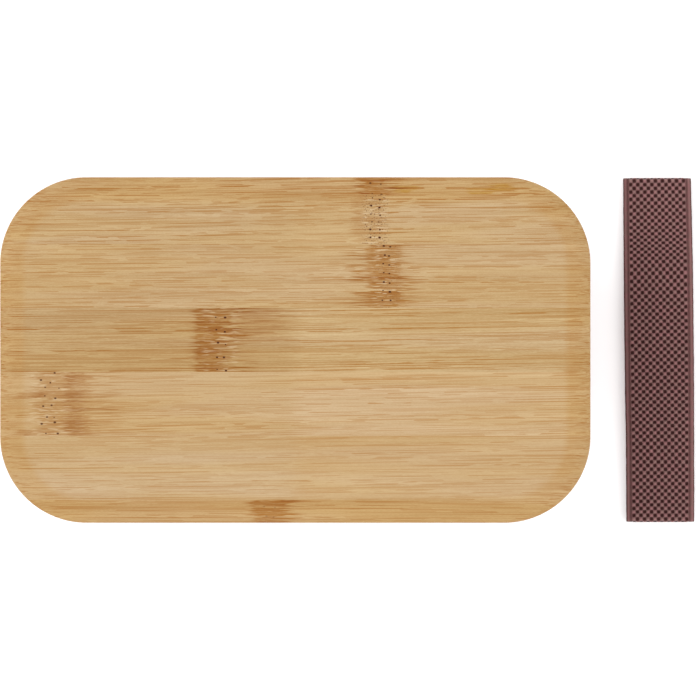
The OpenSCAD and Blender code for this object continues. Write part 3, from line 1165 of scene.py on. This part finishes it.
class LUNCHBOX_OT_elastic_band(bpy.types.Operator):
    """Weaves the elastic flat, then wraps it into the flattened loop with its sewn overlap"""

    bl_idname = "lunchbox.elastic_band"
    bl_label = "Elastic band"

    def execute(self, context):
        size = settings().band
        low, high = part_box("elastic_band")
        fold = (high.z - low.z - size.thickness) / 2
        reach = (high.y - low.y - size.thickness) / 2 - fold
        path = self.loop_path(reach, fold)
        length = path.data.splines[0].calc_length()
        rows = 2 * round(length / size.pitch / 2)
        band = woven_strip("woven_band", rows, size.thickness, size.pit, size.crown)
        edit(band)
        pick_all()
        bpy.ops.transform.resize(value=(length / rows / size.pitch, 1, 1), center_override=(0, 0, 0))
        move((0, 0, size.thickness / 2))
        close()
        band.rotation_euler = (-math.pi / 2, 0, 0)
        settle(band)
        modify(band, "CURVE", object=path, deform_axis="POS_X")
        bpy.data.objects.remove(path)
        edit(band)
        weld(2 * NEAR)
        face_outwards()
        bpy.ops.transform.vertex_random(offset=0.09 * MM, uniform=1, normal=0, seed=4)
        close()
        band.rotation_euler = (math.pi / 2, 0, math.pi / 2)
        band.location = (low + high) / 2
        settle(band)
        modify(band, "SUBSURF", levels=1, render_levels=1)
        self.flatten_folds(band, low, high)
        self.add_overlap(band, low, high)
        self.shape_in_plan(band, low, high)
        self.fit_to_box(band, low, high)
        self.press_seams(band, low.z)
        finish(band, woven_elastic("band_elastic"), "band", "elastic", "elastic_band", angle=75)
        return {"FINISHED"}

    def loop_path(self, reach, radius):
        """The closed line that the middle of the elastic follows, as a flat curve."""
        arc_steps, straight_steps = 16, 60
        points = []
        for side in (-1, 1):
            for k in range(straight_steps):
                x = side * reach * (1 - 2 * k / straight_steps)
                points.append(Vector((x, side * radius, 0)))
            for k in range(arc_steps):
                angle = side * math.pi / 2 + math.pi * k / arc_steps
                x = -side * reach + radius * math.cos(angle)
                points.append(Vector((x, radius * math.sin(angle), 0)))
        draw_chain("loop_path", points)
        pick("verts", lambda v: len(v.link_edges) == 1)
        bpy.ops.mesh.edge_face_add()
        close()
        bpy.ops.object.convert(target="CURVE")
        path = bpy.context.object
        path.data.dimensions = "2D"
        return path

    def flatten_folds(self, band, low, high):
        """Levels the crowns that stand out where the elastic turns round, and narrows it there."""
        depth = 0.9 * MM
        width_kept, depth_kept = 0.965, 0.25
        middle = (low.x + high.x) / 2
        edit(band)
        for edge, side in ((low.y, -1), (high.y, 1)):
            line = edge - side * depth
            pick("verts", lambda v: (v.co.y - line) * side > 0)
            bpy.ops.transform.resize(
                value=(width_kept, depth_kept, 1), center_override=(middle, line, 0)
            )
        close()

    def add_overlap(self, band, low, high):
        """The elastic's other end, pressed flat inside the loop and sewn through."""
        size = settings().band
        rows = round(size.overlap / size.pitch)
        pit, crown, gap = 0.15 * MM, 0.05 * MM, 0.05 * MM
        end = woven_strip("woven_overlap", rows, size.overlap_thickness, pit, crown)
        edit(end)
        pick("edges", lambda e: e.is_boundary)
        bpy.ops.mesh.edge_face_add()
        face_outwards()
        close()
        end.rotation_euler = (0, 0, math.pi / 2)
        end.location = (
            (low.x + high.x) / 2,
            low.y + size.overlap_inset,
            low.z + size.thickness + size.overlap_thickness + gap,
        )
        settle(end)
        join(band, end)

    def shape_in_plan(self, band, low, high):
        """Lets the soft band lie as it does when it rests: a little narrower at its two ends,
        with its weave pulled together in one place and askew in others. Shifts in millimetres."""
        inward = (
            (1.2, 1.1, 0.95, 0.6, 0.4, 0.2, 0.1, 0.05, 0.05),
            (0.05, 0, 0, 0, 0.05, 0.2, 0.45, 0.8, 1.3),
        )
        along = (
            (0, 0, 0.1, 0.3, 0.6, 0.3, 0, 0, 0.2, 0, -0.1, 0.1, 1.3, -0.2, -0.8, -0.5, 0),
            (0, 0, -0.2, 0.2, 0.7, 0.5, 0.2, 0.3, 0.6, 0.4, 0.3, 0.7, 2.1, 0.4, -0.4, -0.3, 0),
        )
        rows = len(along[0])
        size = high - low
        deselect()
        bpy.ops.object.add(type="LATTICE", location=(low + high) / 2)
        cage = bpy.context.object
        cage.scale = size
        cage.data.points_u = cage.data.points_w = 2
        cage.data.points_v = rows
        bpy.context.view_layer.update()
        for k, point in enumerate(cage.data.points):
            is_far = k % 2
            row = k // 2 % rows
            pulls = inward[is_far][row // 2], inward[is_far][(row + 1) // 2]
            shift = sum(pulls) / 2 * (-1 if is_far else 1)
            point.co_deform.x += shift * MM / size.x
            point.co_deform.y += along[is_far][row] * MM / size.y
        modify(band, "LATTICE", object=cage)
        bpy.data.objects.remove(cage)

    def fit_to_box(self, band, low, high):
        """Stretches the band a little, so that it just fills its own box."""
        points = [v.co for v in band.data.vertices]
        least = Vector([min(p[axis] for p in points) for axis in range(3)])
        most = Vector([max(p[axis] for p in points) for axis in range(3)])
        edit(band)
        pick_all()
        move((low + high) / 2 - (least + most) / 2)
        stretch = [(high - low)[axis] / (most - least)[axis] for axis in range(3)]
        bpy.ops.transform.resize(value=stretch, center_override=(low + high) / 2)
        close()

    def press_seams(self, band, table):
        """Pulls the weave in where the two rows of stitches hold it down."""
        half_row, underside, depth = 0.5 * MM, 0.45 * MM, 0.3 * MM
        edit(band)
        for y in seam_lines():
            pick("verts", lambda v: abs(v.co.y - y) < half_row and v.co.z < table + underside)
            move((0, 0, depth))
        close()


def seam_lines():
    """Where the two rows of stitches run, along Y."""
    low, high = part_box("band_stitching")
    half_thread = 0.25 * MM
    return low.y + half_thread, high.y - half_thread


class LUNCHBOX_OT_stitching(bpy.types.Operator):
    """Sews the two rows of stitches, each stitch an arched thread with its ends in the weave"""

    bl_idname = "lunchbox.stitching"
    bl_label = "Stitching"

    def execute(self, context):
        size = settings().band
        low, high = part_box("band_stitching")
        first, second = seam_lines()
        radius = 0.24 * MM
        thread = self.one_stitch(size.stitch / 2 - radius, radius)
        thread.location = (low.x + size.stitch / 2, first, low.z + radius + NEAR)
        settle(thread)
        modify(
            thread,
            "ARRAY",
            count=round((high.x - low.x - size.stitch) / size.stitch_pitch) + 1,
            use_relative_offset=False,
            use_constant_offset=True,
            constant_offset_displace=(size.stitch_pitch, 0, 0),
        )
        other_row = copy_of(thread, "other_row")
        other_row.location = (0, second - first, 0)
        settle(other_row)
        join(thread, other_row)
        edit(thread)
        weld()
        face_outwards()
        finish(thread, spun_thread("sewing_thread"), "band", "thread", "band_stitching", angle=60)
        return {"FINISHED"}

    def one_stitch(self, half, radius):
        """An arched thread whose ends turn up into the weave."""
        arch = [(-half - 0.1 * MM, 0.75), (-half, 0.3), (-0.7 * half, 0.06), (0, 0)]
        arch += [(-x, height) for x, height in reversed(arch[:-1])]
        draw_chain("sewing_thread", [Vector((x, 0, height * MM)) for x, height in arch])
        close()
        bpy.ops.object.convert(target="CURVE")
        thread = bpy.context.object
        thread.data.bevel_depth = radius
        thread.data.bevel_resolution = 2
        thread.data.use_fill_caps = True
        bpy.ops.object.convert(target="MESH")
        return bpy.context.object


class LUNCHBOX_OT_stage(bpy.types.Operator):
    """Sets the floor, the soft lights and the camera straight above the lid"""

    bl_idname = "lunchbox.stage"
    bl_label = "Stage"

    def execute(self, context):
        look = settings().stage
        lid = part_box(UPPER_STRIPS[2])
        self.add_floor(look)
        self.add_softbox("key_light", (-0.9, 0.7, 1.1), 1.2, look.key_power)
        self.add_softbox("fill_light", (1.0, -0.6, 0.9), 1.2, look.fill_power)
        self.add_softbox("front_light", (-0.2, -1.2, 0.8), 1.0, look.fill_power)
        world = bpy.data.worlds.new("studio")
        world.use_nodes = True
        sky = world.node_tree.nodes["Background"].inputs
        sky["Color"].default_value = (1, 1, 1, 1)
        sky["Strength"].default_value = look.sky
        context.scene.world = world
        context.scene.view_settings.view_transform = "Standard"

        deselect()
        sensor = 36
        height = lid[1].z + look.field * look.lens / sensor
        bpy.ops.object.camera_add(location=(lid[0].x + look.field / 2, 0, height), rotation=(0, 0, 0))
        camera = context.object
        camera.name = "camera"
        camera.data.lens = look.lens
        camera.data.sensor_width = sensor
        context.scene.camera = camera
        return {"FINISHED"}

    def add_floor(self, look):
        """A sheet of white paper, just under the pieces."""
        deselect()
        bpy.ops.mesh.primitive_plane_add(size=8, location=(0, 0, -0.2 * MM))
        floor = bpy.context.object
        floor.name = "floor"
        settle(floor)
        white = (*look.floor_colour, 1)
        values = {"Roughness": 0.9, "Specular IOR Level": 0.1, "Base Color": white}
        values |= {"Emission Color": white, "Emission Strength": look.floor_glow}
        floor.data.materials.append(new_material("floor_paper", values)[0])

    def add_softbox(self, name, place, size, power):
        """A square light, turned towards the middle of the box."""
        deselect()
        aim = Vector((0, 0, 0.03)) - Vector(place)
        turn = aim.to_track_quat("-Z", "Y").to_euler()
        bpy.ops.object.light_add(type="AREA", location=place, rotation=turn)
        light = bpy.context.object
        light.name = name
        light.data.size = size
        light.data.energy = power


class LUNCHBOX_PT_panel(bpy.types.Panel):
    bl_label = "Lunch Box"
    bl_idname = "LUNCHBOX_PT_panel"
    bl_space_type = "VIEW_3D"
    bl_region_type = "UI"
    bl_category = "Lunch Box"

    def draw(self, context):
        for operator in OPERATORS:
            self.layout.operator(operator.bl_idname)
        for group in ("lid", "bamboo", "container", "band", "stage"):
            box = self.layout.box()
            box.label(text=group.title())
            values = getattr(settings(), group)
            for name in values.__annotations__:
                box.prop(values, name)


OPERATORS = (
    LUNCHBOX_OT_container,
    LUNCHBOX_OT_divider,
    LUNCHBOX_OT_upper_strips,
    LUNCHBOX_OT_lower_strips,
    LUNCHBOX_OT_seal,
    LUNCHBOX_OT_elastic_band,
    LUNCHBOX_OT_stitching,
    LUNCHBOX_OT_stage,
)
CLASSES = (
    LidSettings,
    BambooSettings,
    ContainerSettings,
    BandSettings,
    StageSettings,
    LunchBoxSettings,
    *OPERATORS,
    LUNCHBOX_PT_panel,
)


def register():
    for each in CLASSES:
        bpy.utils.register_class(each)
    bpy.types.Scene.lunch_box = PointerProperty(type=LunchBoxSettings)


def unregister():
    del bpy.types.Scene.lunch_box
    for each in reversed(CLASSES):
        bpy.utils.unregister_class(each)


def main():
    register()
    bpy.ops.lunchbox.container()
    bpy.ops.lunchbox.divider()
    bpy.ops.lunchbox.upper_strips()
    bpy.ops.lunchbox.lower_strips()
    bpy.ops.lunchbox.seal()
    bpy.ops.lunchbox.elastic_band()
    bpy.ops.lunchbox.stitching()
    bpy.ops.lunchbox.stage()


if __name__ == "__main__":
    main()
